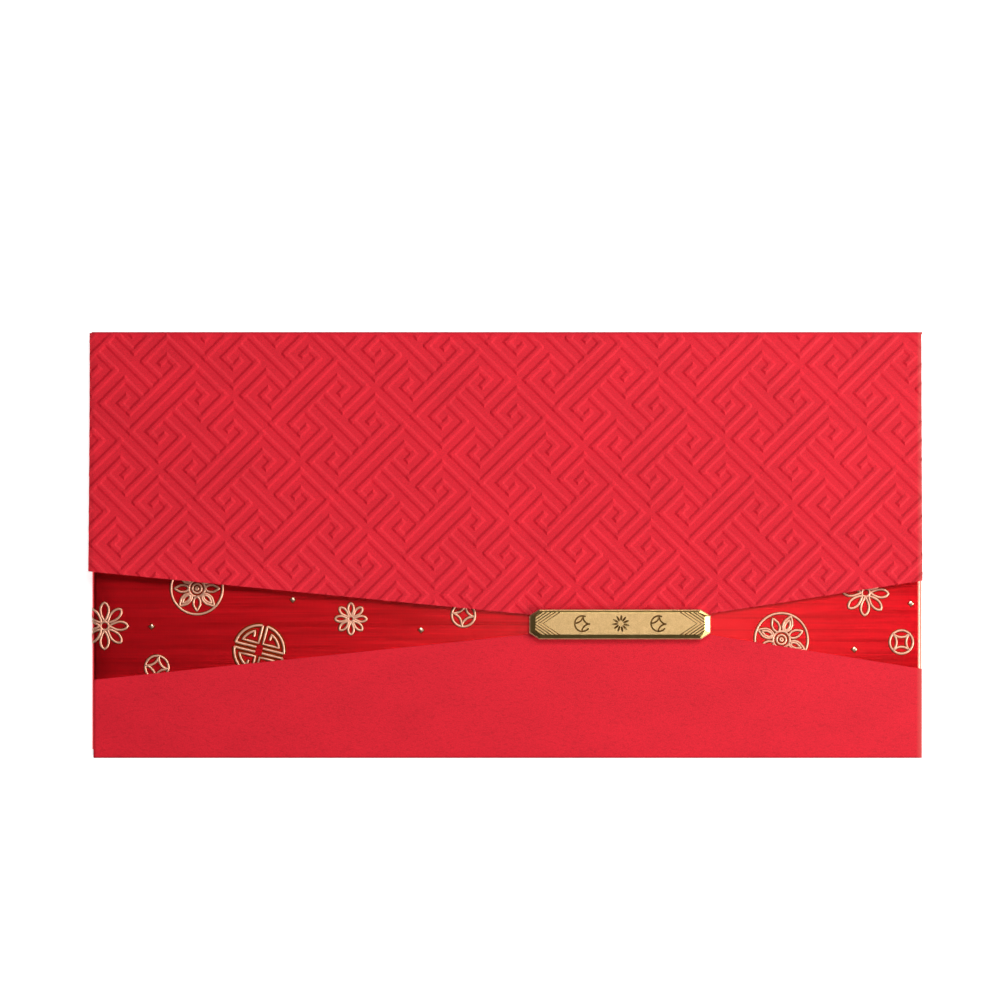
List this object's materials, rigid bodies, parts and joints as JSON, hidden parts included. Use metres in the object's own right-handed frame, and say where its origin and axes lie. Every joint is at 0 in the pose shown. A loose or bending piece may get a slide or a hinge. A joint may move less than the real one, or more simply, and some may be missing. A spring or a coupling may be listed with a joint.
{
  "type": "red envelope",
  "caption": "Landscape red gift envelope: card cover with an embossed flap that folds open, satin paper pocket with gold foil motifs, and a gold clasp plate where flap and panel meet.",
  "frame": {"origin": "middle of the back panel's outer face, on the table that the closed envelope lies on", "axes": "+X along the long side to the right of the face, +Y up the face to the fold of the flap, +Z out of the face"},
  "size_m": [0.172, 0.0882, 0.0053],
  "materials": {
    "red_card": "matt felt-marked card",
    "embossed_card": "matt card with a raised fret",
    "satin_paper": "satin with fine horizontal threads",
    "glue": "dry glue film",
    "gold_foil": "bright stamped foil",
    "gold_plate": "matt face with polished bevels"
  },
  "bodies": {
    "pocket": {"back_panel": "red_card", "bottom_spine": "red_card", "lower_front_panel": "red_card", "pocket_front": "satin_paper", "pocket_left_fold": "satin_paper", "pocket_right_fold": "satin_paper", "pocket_bottom_fold": "satin_paper", "pocket_left_tab": "satin_paper", "pocket_right_tab": "satin_paper", "pocket_bottom_tab": "satin_paper", "left_tab_glue": "glue", "right_tab_glue": "glue", "bottom_tab_glue": "glue", "panel_left_glue": "glue", "panel_right_glue": "glue", "panel_bottom_glue": "glue", "foil_daisies": "gold_foil", "foil_lotus_roundels": "gold_foil", "foil_fret_roundels": "gold_foil", "foil_coins": "gold_foil", "foil_stars": "gold_foil"},
    "spine": {"top_spine": "red_card"},
    "flap": {"flap": "embossed_card", "clasp_tape": "glue", "clasp_plate": "gold_plate"}
  },
  "joints": [
    {"name": "spine_fold", "type": "hinge", "parent": "pocket", "child": "spine", "pos_m": [0, 0.04395, 0.0002], "axis": [-1, 0, 0], "range_deg": [0, 86]},
    {"name": "flap_fold", "type": "hinge", "parent": "spine", "child": "flap", "pos_m": [0, 0.04395, 0.0037], "axis": [-1, 0, 0], "range_deg": [0, 86]}
  ],
  "couplings": [
    {"joint": "spine_fold", "follows": "flap_fold", "ratio": 1}
  ]
}
